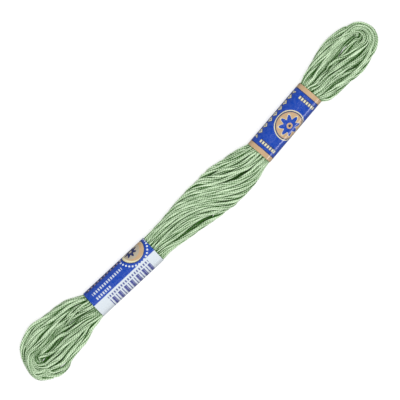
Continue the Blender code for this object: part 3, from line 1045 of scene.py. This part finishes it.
@dataclass
class FlossThread:
    """The thread swept along its path as six strands, in a few lengths that meet end to end."""

    winding: FlossWinding
    finish: MercerisedCotton
    strands: int = 6
    ring: float = 0.6  # from the thread's middle to a strand's, as a share of the thread's radius
    strand_size: float = 0.42  # a strand's radius, as the same share
    looseness: float = 0.22  # how far a strand strays in and out, as a share of the ring
    stray_scale: float = 0.11  # how fast it strays along the thread, to a millimetre
    stray_apart: float = 7.31  # between the strands' places in the noise that they stray by
    lay_pitch: float = 21.0  # one turn of the strands about the thread
    around_points: int = 6
    strip_width: float = 1.885  # of a strand's flat map: the way round it
    lengths: int = 3

    def sweep_tree(self) -> bpy.types.NodeTree:
        """Geometry nodes that lay strands about a curve and sweep a round section along each.

        Returns:
            The tree, with the thread's sizes as inputs.
        """
        tree = bpy.data.node_groups.new("lay_floss", "GeometryNodeTree")
        face = tree.interface
        face.new_socket("Geometry", in_out="INPUT", socket_type="NodeSocketGeometry")
        for name in ("Strands", "Around"):
            face.new_socket(name, in_out="INPUT", socket_type="NodeSocketInt")
        for name in ("Ring", "Strand Size", "Looseness", "Lay Pitch"):
            face.new_socket(name, in_out="INPUT", socket_type="NodeSocketFloat")
        face.new_socket("Finish", in_out="INPUT", socket_type="NodeSocketMaterial")
        face.new_socket("Geometry", in_out="OUTPUT", socket_type="NodeSocketGeometry")
        given = add_node(tree, "NodeGroupInput").outputs
        amount = {"Geometry": given["Geometry"], "Amount": given["Strands"]}
        copies = add_node(tree, "GeometryNodeDuplicateElements", amount, domain="SPLINE").outputs
        length = add_node(tree, "GeometryNodeSplineParameter").outputs["Length"]
        stored = copies["Geometry"]
        middle = add_node(tree, "GeometryNodeInputPosition").outputs[0]
        fullness = add_node(tree, "GeometryNodeInputRadius").outputs[0]
        kept = (
            ("along", length, "FLOAT"),
            ("strand", copies["Duplicate Index"], "FLOAT"),
            ("fullness", fullness, "FLOAT"),
            ("middle", middle, "FLOAT_VECTOR"),
        )
        for name, value, kind in kept:
            entry = {"Geometry": stored, "Name": name, "Value": value}
            store = add_node(tree, "GeometryNodeStoreNamedAttribute", entry, data_type=kind, domain="POINT")
            stored = store.outputs[0]
        number = add_node(tree, "GeometryNodeInputNamedAttribute", {"Name": "strand"}, data_type="FLOAT").outputs[0]
        share = add_node(tree, "ShaderNodeMath", {0: number, 1: given["Strands"]}, operation="DIVIDE").outputs[0]
        laid = add_node(tree, "ShaderNodeMath", {0: length, 1: given["Lay Pitch"]}, operation="DIVIDE").outputs[0]
        turn = add_node(tree, "ShaderNodeMath", {0: share, 1: laid}, operation="ADD").outputs[0]
        apart = add_node(tree, "ShaderNodeMath", {0: number, 1: self.stray_apart}, operation="MULTIPLY").outputs[0]
        slow = add_node(tree, "ShaderNodeMath", {0: length, 1: self.stray_scale}, operation="MULTIPLY").outputs[0]
        seed = add_node(tree, "ShaderNodeCombineXYZ", {0: slow, 1: apart}).outputs[0]
        stray = add_node(tree, "ShaderNodeTexNoise", {"Vector": seed, "Scale": 1.0, "Detail": 1.0}).outputs
        sides = add_node(tree, "ShaderNodeSeparateXYZ", {0: stray["Color"]}).outputs
        sway = add_node(tree, "ShaderNodeMath", {0: sides[0], 1: -0.5}, operation="ADD").outputs[0]
        swayed = add_node(tree, "ShaderNodeMath", {0: sway, 1: 0.5, 2: turn}, operation="MULTIPLY_ADD").outputs[0]
        angle = add_node(tree, "ShaderNodeMath", {0: swayed, 1: 2 * math.pi}, operation="MULTIPLY").outputs[0]
        lift = add_node(tree, "ShaderNodeMath", {0: sides[1], 1: -0.5}, operation="ADD").outputs[0]
        play = add_node(tree, "ShaderNodeMath", {0: given["Looseness"], 1: 4.0}, operation="MULTIPLY").outputs[0]
        loose = add_node(tree, "ShaderNodeMath", {0: lift, 1: play, 2: 1.0}, operation="MULTIPLY_ADD").outputs[0]
        ring = add_node(tree, "ShaderNodeMath", {0: fullness, 1: given["Ring"]}, operation="MULTIPLY").outputs[0]
        reach = add_node(tree, "ShaderNodeMath", {0: ring, 1: loose}, operation="MULTIPLY").outputs[0]
        normal = add_node(tree, "GeometryNodeInputNormal").outputs[0]
        tangent = add_node(tree, "GeometryNodeInputTangent").outputs[0]
        sideways = add_node(tree, "ShaderNodeVectorMath", {0: tangent, 1: normal}, operation="CROSS_PRODUCT").outputs[0]
        offset = None
        for kind, direction in (("COSINE", normal), ("SINE", sideways)):
            wave = add_node(tree, "ShaderNodeMath", {0: angle}, operation=kind).outputs[0]
            size = add_node(tree, "ShaderNodeMath", {0: wave, 1: reach}, operation="MULTIPLY").outputs[0]
            part = add_node(tree, "ShaderNodeVectorMath", {0: direction, "Scale": size}, operation="SCALE").outputs[0]
            offset = part if offset is None else add_node(tree, "ShaderNodeVectorMath", {0: offset, 1: part}).outputs[0]
        moved = add_node(tree, "GeometryNodeSetPosition", {"Geometry": stored, "Offset": offset}).outputs[0]
        circle = {"Resolution": given["Around"], "Radius": 1.0}
        section = add_node(tree, "GeometryNodeCurvePrimitiveCircle", circle).outputs[0]
        thin = add_node(tree, "ShaderNodeMath", {0: fullness, 1: given["Strand Size"]}, operation="MULTIPLY").outputs[0]
        along = {"Curve": moved, "Profile Curve": section, "Scale": thin, "Fill Caps": True}
        swept = add_node(tree, "GeometryNodeCurveToMesh", along).outputs[0]
        smooth = add_node(tree, "GeometryNodeSetShadeSmooth", {"Geometry": swept}).outputs[0]
        real = add_node(tree, "GeometryNodeRealizeInstances", {"Geometry": smooth}).outputs[0]
        dressed = add_node(tree, "GeometryNodeSetMaterial", {"Geometry": real, "Material": given["Finish"]})
        add_node(tree, "NodeGroupOutput", {"Geometry": dressed.outputs[0]})
        return tree

    def build(self) -> list[bpy.types.Object]:
        """Makes every length of the thread.

        Returns:
            The pieces.
        """
        path = self.winding.thread_path()
        total = float(np.linalg.norm(np.diff(path[:, :3], axis=0), axis=1).sum())
        log.info("thread: %.2f m in %d turns", total * MM, self.winding.turns)
        tree, finish = self.sweep_tree(), self.finish.material()
        cuts = np.linspace(0, len(path) - 1, self.lengths + 1).astype(int)
        pieces = []
        for number, (start, end) in enumerate(zip(cuts[:-1], cuts[1:]), 1):
            pieces.append(self.swept(f"floss_length_{number}", path[start : end + 1], tree, finish))
        return pieces

    def swept(
        self, name: str, path: np.ndarray, tree: bpy.types.NodeTree, finish: bpy.types.Material
    ) -> bpy.types.Object:
        """One length of thread as a mesh.

        Args:
            name: the piece's name.
            path: its points.
            tree: the sweeping nodes.
            finish: its material.

        Returns:
            The piece.
        """
        curve = bpy.data.curves.new(name + "_path", "CURVE")
        curve.dimensions = "3D"
        spline = curve.splines.new("POLY")
        spline.points.add(len(path) - 1)
        spline.points.foreach_set("co", np.column_stack([path[:, :3], np.ones(len(path))]).ravel())
        spline.points.foreach_set("radius", path[:, 3].astype(np.float32))
        guide = place_object(name + "_path", curve)
        modifier = guide.modifiers.new("sweep", "NODES")
        modifier.node_group = tree
        values = {
            "Strands": self.strands,
            "Around": self.around_points,
            "Ring": self.ring,
            "Strand Size": self.strand_size,
            "Looseness": self.looseness,
            "Lay Pitch": self.lay_pitch,
            "Finish": finish,
        }
        for item in tree.interface.items_tree:
            if item.name in values:
                modifier[item.identifier] = values[item.name]
        bpy.context.view_layer.update()
        shaped = guide.evaluated_get(bpy.context.evaluated_depsgraph_get())
        mesh = bpy.data.meshes.new_from_object(shaped)
        mesh.name = name
        mesh.transform(Matrix.Scale(MM, 4))
        bpy.data.objects.remove(guide)
        self.lay_out(mesh)
        piece = place_object(name, mesh)
        log.info("%s: %d faces", name, len(mesh.polygons))
        return piece

    def lay_out(self, mesh: bpy.types.Mesh) -> None:
        """Gives a length of thread its map of strips, and a map of millimetres along and turns around.

        Args:
            mesh: the swept mesh, ring after ring of points.
        """
        count = self.around_points
        rings = len(mesh.vertices) // count
        strips = max(1, round(math.sqrt(rings * self.winding.longest_step / self.strip_width)))
        per_strip = math.ceil(rings / strips)
        corner = read_values(mesh.loops, "vertex_index", np.int32)
        sizes = read_values(mesh.polygons, "loop_total", np.int32)
        face = np.repeat(np.arange(len(sizes)), sizes)
        starts = np.concatenate([[0], np.cumsum(sizes)[:-1]])
        ring, side = corner // count, corner % count
        first_ring = np.minimum.reduceat(ring, starts)[face]
        low_side = np.minimum.reduceat(side, starts)[face]
        high_side = np.maximum.reduceat(side, starts)[face]
        wraps = (low_side == 0) & (high_side == count - 1) & (side == 0)
        across = (side + np.where(wraps, count, 0)) / count
        strip = first_ring // per_strip
        u = (ring - strip * per_strip) / per_strip
        v = (strip + 0.06 + 0.88 * across) / strips  # with a margin between the strips
        cap = sizes[face] > 4  # the ends have a corner for each point round, the sides four
        u, v = np.where(cap, 0.0, u * 0.998 + 0.001), np.where(cap, 0.0, v)
        along, full = (read_values(mesh.attributes[name].data, "value", np.float32) for name in ("along", "fullness"))
        add_map(mesh, BAKE_MAP, u, v)
        add_map(mesh, LAY_MAP, along[corner], across)
        place = read_values(mesh.vertices, "co", np.float32, 3)
        middle = read_values(mesh.attributes["middle"].data, "vector", np.float32, 3)
        # How far each point lies out from its thread's middle. The floss colour darkens the strands' inner sides by it,
        # as painted shade between the strands.
        crest = np.linalg.norm((place / MM - middle).reshape(-1, 3), axis=1) / full
        mesh.attributes.new("crest", "FLOAT", "POINT").data.foreach_set("value", crest.astype(np.float32))
        for name in ("middle", "fullness"):
            mesh.attributes.remove(mesh.attributes[name])


# --- the paper sleeves -----------------------------------------------------------------------


class Side(Enum):
    """Which side of the paper a surface is."""

    PRINTED = 0
    PLAIN = 1


@dataclass(frozen=True)
class PlainPaper:
    """The uncoated back and cut edges of the sleeve paper: dull, with a little fibre."""

    colour: str = "#E9ECEA"
    roughness: float = 0.8

    def material(self) -> bpy.types.Material:
        """The paper's back."""
        made, tree, shader = new_material("uncoated_paper_back")
        place = add_node(tree, "ShaderNodeTexCoord").outputs["Object"]
        fibre = add_node(tree, "ShaderNodeTexNoise", {"Vector": place, "Scale": 2500.0, "Detail": 4.0}).outputs["Fac"]
        bump = add_node(tree, "ShaderNodeBump", {"Height": fibre, "Distance": 0.00002, "Strength": 0.5})
        tree.links.new(bump.outputs["Normal"], shader.inputs["Normal"])
        shader.inputs["Base Color"].default_value = srgb(self.colour)
        shader.inputs["Roughness"].default_value = self.roughness
        return made


@dataclass
class PaperSleeve:
    """A strip of paper wrapped round the bundle, its ends glued over each other underneath."""

    fit: SleeveFit
    printed: bpy.types.Material
    plain: bpy.types.Material
    thickness: float = 0.14
    overlap: float = 5.0
    seam_degrees: float = 250.0  # the outer end's direction about X, from +Y
    rows: int = 40  # of points along it
    columns: int = 150  # of points round it
    settle: float = 0.5  # how far its oval reaches under the floor, which flattens it
    dent: float = 0.07
    boxiness: float = 2.5  # 2 is an ellipse

    def surface(self, inset: float) -> tuple[np.ndarray, np.ndarray]:
        """One face of the paper.

        Args:
            inset: how far it lies inside the outer face.

        Returns:
            Points by row along the skein and column round it, and their places on the flat strip.
        """
        fit = self.fit
        half_width, half_height = fit.width / 2, (fit.height + self.settle) / 2
        middle_z = (fit.height - self.settle) / 2
        extra = self.overlap / (half_width + half_height) * 2
        start = math.radians(self.seam_degrees)
        angle = start + np.linspace(0, 2 * math.pi + extra, self.columns)[None, :]
        along = np.linspace(0, 1, self.rows)[:, None]
        lift = smoothstep(angle - start, 2 * math.pi - 0.25, 2 * math.pi + 0.02) * (self.thickness + 0.03)
        rng = np.random.default_rng(SEED + round(fit.width * 10))
        dents = np.zeros((self.rows, self.columns))
        for number in (5, 9, 13, 17):
            phase, lean = rng.uniform(0, 2 * math.pi), rng.normal(0, 0.9)
            dents += np.cos(number * angle + phase + lean * 3 * along) / number * 4
        dents *= self.dent * (0.35 + 0.65 * np.abs(along * 2 - 1) ** 2)
        reach = -inset - self.thickness - 0.03 + lift + dents * 0.5
        flank, crown = np.abs(np.cos(angle) / half_width), np.abs(np.sin(angle) / half_height)
        outline = (flank**self.boxiness + crown**self.boxiness) ** (-1 / self.boxiness)
        across = (outline + reach) * np.cos(angle)
        z = middle_z + (outline + reach) * np.sin(angle)
        z = np.maximum(z, inset + 0.02 * np.abs(np.sin(angle * 3)) + np.where(lift > 0.08, 0, self.thickness))
        length = math.hypot(fit.end - fit.start, fit.end_y - fit.start_y)
        lean_x, lean_y = (fit.end - fit.start) / length, (fit.end_y - fit.start_y) / length
        middle_x = fit.start + (fit.end - fit.start) * along
        middle_y = fit.start_y + (fit.end_y - fit.start_y) * along
        points = np.stack([middle_x - lean_y * across, middle_y + lean_x * across, z], -1)
        steps = np.hypot(np.diff(outline * np.cos(angle)), np.diff(outline * np.sin(angle)))[0]
        round_it = np.concatenate([[0.0], np.cumsum(steps)])
        top, turn = (float(np.interp(at, angle[0], round_it)) for at in (math.pi * 2.5, start + 2 * math.pi))
        round_it = (round_it - top + turn * 1.5) % turn - turn / 2
        flat = np.stack([np.broadcast_to(along * length, z.shape), np.broadcast_to(round_it, z.shape)], -1)
        return points, flat

    def build(self) -> bpy.types.Object:
        """The sleeve as one closed body: printed face, plain back and cut edges."""
        outer, flat = self.surface(0.0)
        inner, _ = self.surface(self.thickness)
        rows, columns = self.rows, self.columns
        count = rows * columns
        quads = grid_faces(rows, columns)
        left = np.arange(rows - 1) * columns
        near = np.arange(columns - 1)
        right, away = left + columns - 1, near + (rows - 1) * columns
        rims = [
            np.stack([left, left + columns, left + columns + count, left + count], 1),
            np.stack([right, right + count, right + columns + count, right + columns], 1),
            np.stack([near, near + count, near + 1 + count, near + 1], 1),
            np.stack([away, away + 1, away + 1 + count, away + count], 1),
        ]
        faces = np.concatenate([quads, quads[:, ::-1] + count, *rims])
        mesh = bpy.data.meshes.new(self.fit.name + "_paper")
        mesh.from_pydata(np.concatenate([outer.reshape(-1, 3), inner.reshape(-1, 3)]) * MM, [], faces.tolist())
        mesh.materials.append(self.printed)
        mesh.materials.append(self.plain)
        sides = np.full(len(faces), Side.PLAIN.value, np.int32)
        sides[: len(quads)] = Side.PRINTED.value
        mesh.polygons.foreach_set("material_index", sides)
        corner = read_values(mesh.loops, "vertex_index", np.int32)
        self.map_print(mesh, corner % count, flat.reshape(-1, 2))
        self.lay_out(mesh, corner, count, len(quads))
        mesh.shade_smooth()
        mesh.set_sharp_from_angle(angle=math.radians(50))
        piece = place_object(mesh.name, mesh)
        log.info("%s: %d faces", piece.name, len(faces))
        return piece

    def map_print(self, mesh: bpy.types.Mesh, corner: np.ndarray, flat: np.ndarray) -> None:
        """Stores where each corner lies on the flat strip, in millimetres from the middle of its top."""
        where = flat[corner].copy()
        low = where[:, 1].reshape(-1, 4)
        turn = low.max() - low.min()
        torn = (low.max(1) - low.min(1)) > turn / 2
        low[torn] = np.where(low[torn] < 0, low[torn] + turn, low[torn])
        where[:, 1] = low.ravel()
        add_map(mesh, PRINT_MAP, where[:, 0], where[:, 1])

    def lay_out(self, mesh: bpy.types.Mesh, corner: np.ndarray, count: int, quads: int) -> None:
        """Gives the sleeve a flat map: printed face, back and edges side by side."""
        row, column = (corner % count) // self.columns, corner % self.columns
        u = row / (self.rows - 1)
        v = column / (self.columns - 1)
        face = np.repeat(np.arange(len(mesh.polygons)), 4)
        back = face >= quads
        rim = face >= 2 * quads
        v = np.where(rim, 0.98, np.where(back, 0.74 + 0.22 * v, 0.01 + 0.7 * v))
        add_map(mesh, BAKE_MAP, 0.005 + 0.99 * u, v)


class Outline(Enum):
    """The shape of a printed mark."""

    BOX = 0
    DISC = 1
    LOZENGE = 2
    ROSETTE = 3
    BEADS = 4


@dataclass(frozen=True)
class Mark:
    """A printed mark, placed on the flat strip: at is millimetres along the sleeve and round it.

    A mark with a pitch repeats over its area. hollow is the share of a mark that is left out of its middle.
    """

    ink: str
    outline: Outline
    at: tuple[float, float]
    half: tuple[float, float]
    pitch: tuple[float, float] | None = None
    area: tuple[float, float] | None = None
    hollow: float = 0.0


def stacked(
    outline: Outline,
    at: tuple[float, float],
    *layers: tuple[str, float, float],
    pitch: tuple[float, float] | None = None,
    area: tuple[float, float] | None = None,
) -> list[Mark]:
    """Marks of one shape printed over each other, from the ink and half size of each."""
    return [Mark(ink, outline, at, (along, round_it), pitch, area) for ink, along, round_it in layers]


BLUE, NAVY, TAN, CREAM, WHITE, INK = "#083CA0", "#122257", "#BA9B75", "#D6CFA8", "#CCD4DA", "#3E4488"
STONE = "#A9A08C"

UPPER_PRINT = (
    Mark(TAN, Outline.BOX, (0.0, 0.0), (1.75, 40.0)),
    Mark(TAN, Outline.BOX, (27.7, 0.0), (1.75, 40.0)),
    Mark(NAVY, Outline.BOX, (1.85, 0.0), (0.14, 40.0)),
    Mark(NAVY, Outline.BOX, (25.85, 0.0), (0.14, 40.0)),
    *stacked(
        Outline.LOZENGE,
        (14.0, -5.6),
        (NAVY, 1.35, 1.55),
        (CREAM, 1.05, 1.25),
        (BLUE, 0.4, 0.5),
        pitch=(2.6, 40.0),
        area=(10.4, 3.0),
    ),
    *stacked(Outline.DISC, (14.0, 2.1), (CREAM, 5.6, 5.6), (NAVY, 5.25, 5.25), (TAN, 4.85, 4.85)),
    *stacked(Outline.ROSETTE, (14.0, 2.1), (CREAM, 4.3, 4.3), (BLUE, 3.95, 3.95)),
    *stacked(Outline.DISC, (14.0, 2.1), (TAN, 1.1, 1.1), (NAVY, 0.5, 0.5)),
    Mark(NAVY, Outline.BOX, (3.7, 1.0), (0.75, 0.5), pitch=(40.0, 1.1), area=(2.0, 3.6)),
    Mark(CREAM, Outline.BOX, (3.6, 1.0), (0.5, 0.34), pitch=(40.0, 1.1), area=(2.0, 3.6)),
    Mark(NAVY, Outline.BOX, (23.9, 1.6), (0.75, 0.5), pitch=(40.0, 1.1), area=(2.0, 3.6)),
    Mark(CREAM, Outline.BOX, (23.8, 1.6), (0.5, 0.34), pitch=(40.0, 1.1), area=(2.0, 3.6)),
)

LOWER_PRINT = (
    Mark(WHITE, Outline.BOX, (14.0, 6.8), (40.0, 6.3)),
    Mark(NAVY, Outline.DISC, (22.6, -5.2), (4.75, 4.75)),
    Mark(CREAM, Outline.DISC, (22.6, -5.2), (4.45, 4.45)),
    Mark(TAN, Outline.DISC, (23.0, -4.9), (3.9, 3.9)),
    Mark(STONE, Outline.DISC, (22.3, -5.5), (3.3, 3.3)),
    Mark(NAVY, Outline.ROSETTE, (21.9, -5.7), (2.6, 2.6), hollow=0.3),
    Mark(WHITE, Outline.BEADS, (22.6, -5.2), (5.75, 5.75)),
    Mark(NAVY, Outline.BOX, (9.0, -6.0), (0.45, 0.7), pitch=(1.5, 40.0), area=(8.6, 1.2)),
    Mark(TAN, Outline.BOX, (9.7, -6.1), (0.26, 0.4), pitch=(1.5, 40.0), area=(8.6, 1.2)),
    Mark(WHITE, Outline.BOX, (9.0, -2.8), (0.25, 0.48), pitch=(0.98, 40.0), area=(6.8, 1.0)),
    Mark(WHITE, Outline.BOX, (5.6, -0.7), (0.25, 0.48), pitch=(0.98, 40.0), area=(3.5, 1.0)),
    Mark(INK, Outline.BOX, (15.0, 1.75), (0.26, 0.44), pitch=(1.05, 40.0), area=(9.4, 1.0)),
    Mark(INK, Outline.BOX, (15.0, 5.9), (0.17, 20.0), pitch=(0.93, 80.0), area=(9.4, 3.2)),
    Mark(INK, Outline.BOX, (15.4, 5.9), (0.3, 20.0), pitch=(2.79, 80.0), area=(9.4, 3.2)),
)


@dataclass(frozen=True)
class CoatedPaper:
    """Smooth coated paper, offset printed: the coat keeps the inks even and gives a slight gloss."""

    name: str
    ground: str
    marks: tuple[Mark, ...]
    roughness: float = 0.25
    ink_edge: float = 0.1  # over which a mark's edge fades
    beads: int = 30  # in a ring
    bead_size: float = 0.3  # its radius, as a share of the way to the next
    points: int = 8  # of a rosette
    worn: str = "#B4C0E0"

    def material(self) -> bpy.types.Material:
        """The printed face of a sleeve, read from its map of millimetres along and round."""
        made, tree, shader = new_material(self.name)
        place = add_node(tree, "ShaderNodeUVMap", uv_map=PRINT_MAP).outputs["UV"]
        colour = srgb(self.ground)
        for mark in self.marks:
            inked = {"Factor": self.printed(tree, place, mark), 6: colour, 7: srgb(mark.ink)}
            colour = add_node(tree, "ShaderNodeMix", inked, data_type="RGBA").outputs[2]
        spots = {"Vector": place, "Scale": 0.9, "Detail": 4.0, "Roughness": 0.7}
        mottle = add_node(tree, "ShaderNodeTexNoise", spots).outputs["Fac"]
        worn = add_ranges(tree, [(mottle, 0.4, 0.8, 0.0, 0.1)], "ADD")
        rubbed = {"Factor": worn, 6: colour, 7: srgb(self.worn)}
        colour = add_node(tree, "ShaderNodeMix", rubbed, data_type="RGBA").outputs[2]
        tree.links.new(colour, shader.inputs["Base Color"])
        cockle = add_node(tree, "ShaderNodeTexNoise", {"Vector": place, "Scale": 0.55, "Detail": 2.0}).outputs["Fac"]
        bump = add_node(tree, "ShaderNodeBump", {"Height": cockle, "Distance": 0.00006, "Strength": 0.6})
        tree.links.new(bump.outputs["Normal"], shader.inputs["Normal"])
        shader.inputs["Roughness"].default_value = self.roughness
        return made

    def printed(self, tree: bpy.types.NodeTree, place: bpy.types.NodeSocket, mark: Mark) -> bpy.types.NodeSocket:
        """Where a mark is printed.

        Args:
            tree: the material's nodes.
            place: the map of the flat strip.
            mark: the mark.

        Returns:
            1 inside the mark and 0 outside it.
        """
        at, half = (*mark.at, 0.0), (*mark.half, 1.0)
        local = add_node(tree, "ShaderNodeVectorMath", {0: place, 1: at}, operation="SUBTRACT").outputs[0]
        cell = local
        if mark.pitch:
            high, low = (tuple(sign * p / 2 for p in (*mark.pitch, 1.0)) for sign in (1, -1))
            cell = add_node(tree, "ShaderNodeVectorMath", {0: local, 1: high, 2: low}, operation="WRAP").outputs[0]
        share = add_node(tree, "ShaderNodeVectorMath", {0: cell, 1: half}, operation="DIVIDE").outputs[0]
        out = add_node(tree, "ShaderNodeVectorMath", {0: share}, operation="LENGTH").outputs["Value"]
        if mark.outline in (Outline.BOX, Outline.LOZENGE):
            size = add_node(tree, "ShaderNodeVectorMath", {0: share}, operation="ABSOLUTE").outputs[0]
            sides = add_node(tree, "ShaderNodeSeparateXYZ", {0: size}).outputs
            joined = "MAXIMUM" if mark.outline is Outline.BOX else "ADD"
            out = add_node(tree, "ShaderNodeMath", {0: sides[0], 1: sides[1]}, operation=joined).outputs[0]
        if mark.outline in (Outline.ROSETTE, Outline.BEADS):
            sides = add_node(tree, "ShaderNodeSeparateXYZ", {0: share}).outputs
            angle = add_node(tree, "ShaderNodeMath", {0: sides[0], 1: sides[1]}, operation="ARCTAN2").outputs[0]
        if mark.outline is Outline.ROSETTE:
            petals = add_node(tree, "ShaderNodeMath", {0: angle, 1: self.points}, operation="MULTIPLY").outputs[0]
            wave = add_node(tree, "ShaderNodeMath", {0: petals}, operation="COSINE").outputs[0]
            edge = add_node(tree, "ShaderNodeMath", {0: wave, 1: 0.2, 2: 0.8}, operation="MULTIPLY_ADD").outputs[0]
            out = add_node(tree, "ShaderNodeMath", {0: out, 1: edge}, operation="DIVIDE").outputs[0]
        if mark.outline is Outline.BEADS:
            bead = 2 * math.pi / self.beads
            aside = add_node(tree, "ShaderNodeMath", {0: angle, 1: bead / 2, 2: -bead / 2}, operation="WRAP").outputs[0]
            off = add_node(tree, "ShaderNodeMath", {0: out, 1: -1.0}, operation="ADD").outputs[0]
            spot = add_node(tree, "ShaderNodeCombineXYZ", {0: aside, 1: off}).outputs[0]
            away = add_node(tree, "ShaderNodeVectorMath", {0: spot}, operation="LENGTH").outputs["Value"]
            size = {0: away, 1: bead * self.bead_size}
            out = add_node(tree, "ShaderNodeMath", size, operation="DIVIDE").outputs[0]
        soft = self.ink_edge / min(mark.half)
        ranges = [(out, 1 - soft, 1 + soft, 1.0, 0.0)]
        if mark.hollow:
            ranges.append((out, mark.hollow - soft, mark.hollow + soft, 0.0, 1.0))
        if mark.area:
            inside = add_node(tree, "ShaderNodeVectorMath", {0: local, 1: (*mark.area, 1.0)}, operation="DIVIDE")
            size = add_node(tree, "ShaderNodeVectorMath", {0: inside.outputs[0]}, operation="ABSOLUTE").outputs[0]
            sides = add_node(tree, "ShaderNodeSeparateXYZ", {0: size}).outputs
            bound = add_node(tree, "ShaderNodeMath", {0: sides[0], 1: sides[1]}, operation="MAXIMUM").outputs[0]
            ranges.append((bound, 1.0, 1.01, 1.0, 0.0))
        return add_ranges(tree, ranges, "MULTIPLY")


# --- camera, floor and light -----------------------------------------------------------------


@dataclass(frozen=True)
class Studio:
    """A pale floor, soft light and a camera straight above, rolled so that the skein runs to the upper right."""

    skein_angle: float = 44.27  # degrees above the picture's horizontal
    frame_width_m: float = 0.1396
    shift_right: float = -0.66  # of the picture's centre from the skein's
    shift_up: float = -0.1
    distance_m: float = 1.3
    floor_size_m: float = 3.0

    def axes(self) -> tuple[Vector, Vector]:
        """The picture's rightward and upward directions on the floor."""
        roll = math.radians(self.skein_angle)
        return Vector((math.cos(roll), -math.sin(roll), 0)), Vector((math.sin(roll), math.cos(roll), 0))

    def camera(self) -> None:
        """Adds the camera and makes it the scene's."""
        right, up = self.axes()
        data = bpy.data.cameras.new("camera")
        data.sensor_width = 36.0
        data.lens = data.sensor_width * self.distance_m / self.frame_width_m
        data.clip_end = 10.0
        made = place_object("camera", data)
        centre = (right * self.shift_right + up * self.shift_up) * MM
        turned = Matrix((right, up, Vector((0, 0, 1)))).transposed().to_4x4()
        made.matrix_world = Matrix.Translation(centre + Vector((0, 0, self.distance_m))) @ turned
        bpy.context.scene.camera = made

    def floor(self) -> None:
        """Adds the floor."""
        half = self.floor_size_m / 2
        mesh = bpy.data.meshes.new("floor")
        mesh.from_pydata([(-half, -half, 0), (half, -half, 0), (half, half, 0), (-half, half, 0)], [], [(0, 1, 2, 3)])
        made, _, shader = new_material("pale_floor")
        shader.inputs["Base Color"].default_value = srgb("#9A9A9A")
        shader.inputs["Roughness"].default_value = 0.9
        shader.inputs["Specular IOR Level"].default_value = 0.0
        shader.inputs["Emission Color"].default_value = srgb("#FFFFFF")
        shader.inputs["Emission Strength"].default_value = 0.7
        mesh.materials.append(made)
        plate = place_object("floor", mesh)
        plate.location.z = -0.0001
        plate.visible_glossy = False  # paper and floss show no white haze of it along their sides

    def lights(self) -> None:
        """Adds a white surround and a large soft lamp at the picture's lower right."""
        world = bpy.data.worlds.new("surround")
        bpy.context.scene.world = world
        world.use_nodes = True
        sky = world.node_tree.nodes["Background"].inputs
        sky["Color"].default_value = (1, 1, 1, 1)
        sky["Strength"].default_value = 0.22
        right, up = self.axes()
        key = self.lamp("key", right * 0.12 - up * 0.05 + Vector((0, 0, 1.35)), 0.6, 21.0)
        key.visible_glossy = False  # its own picture in the glossy paper lies off to the side, from the low lamp
        low = self.lamp("low", Vector((0.08, -0.85, 0.12)), 0.16, 1.3)
        low.visible_diffuse = False  # it only puts the stripe of gloss on the paper

    @staticmethod
    def lamp(name: str, place: Vector, size_m: float, power: float) -> bpy.types.Object:
        """Adds a square lamp that faces the skein, and returns it."""
        data = bpy.data.lights.new(name, "AREA")
        data.size = size_m
        data.energy = power
        made = place_object(name, data)
        made.location = place
        made.rotation_euler = (-place).to_track_quat("-Z", "Y").to_euler()
        return made

    def picture(self) -> None:
        """Sets how light becomes picture colours."""
        view = bpy.context.scene.view_settings
        view.view_transform = "Standard"
        view.look = "None"
        view.exposure = 0.0
        view.gamma = 1.0


def main() -> None:
    """Builds the skein, dresses it and sets up the studio."""
    logging.basicConfig(level=logging.INFO, format="%(name)s: %(message)s")
    floss = FlossThread(FlossWinding(), MercerisedCotton())
    for piece in floss.build():
        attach(piece, BODY)
        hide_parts("floss_skein")
    plain = PlainPaper().material()
    for fit, marks in ((LOWER, LOWER_PRINT), (UPPER, UPPER_PRINT)):
        printed = CoatedPaper(fit.name + "_print", BLUE, marks).material()
        piece = PaperSleeve(fit, printed, plain).build()
        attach(piece, BODY)
        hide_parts(fit.name)
    studio = Studio()
    studio.picture()
    studio.lights()
    studio.floor()
    studio.camera()


if __name__ == "__main__":
    main()
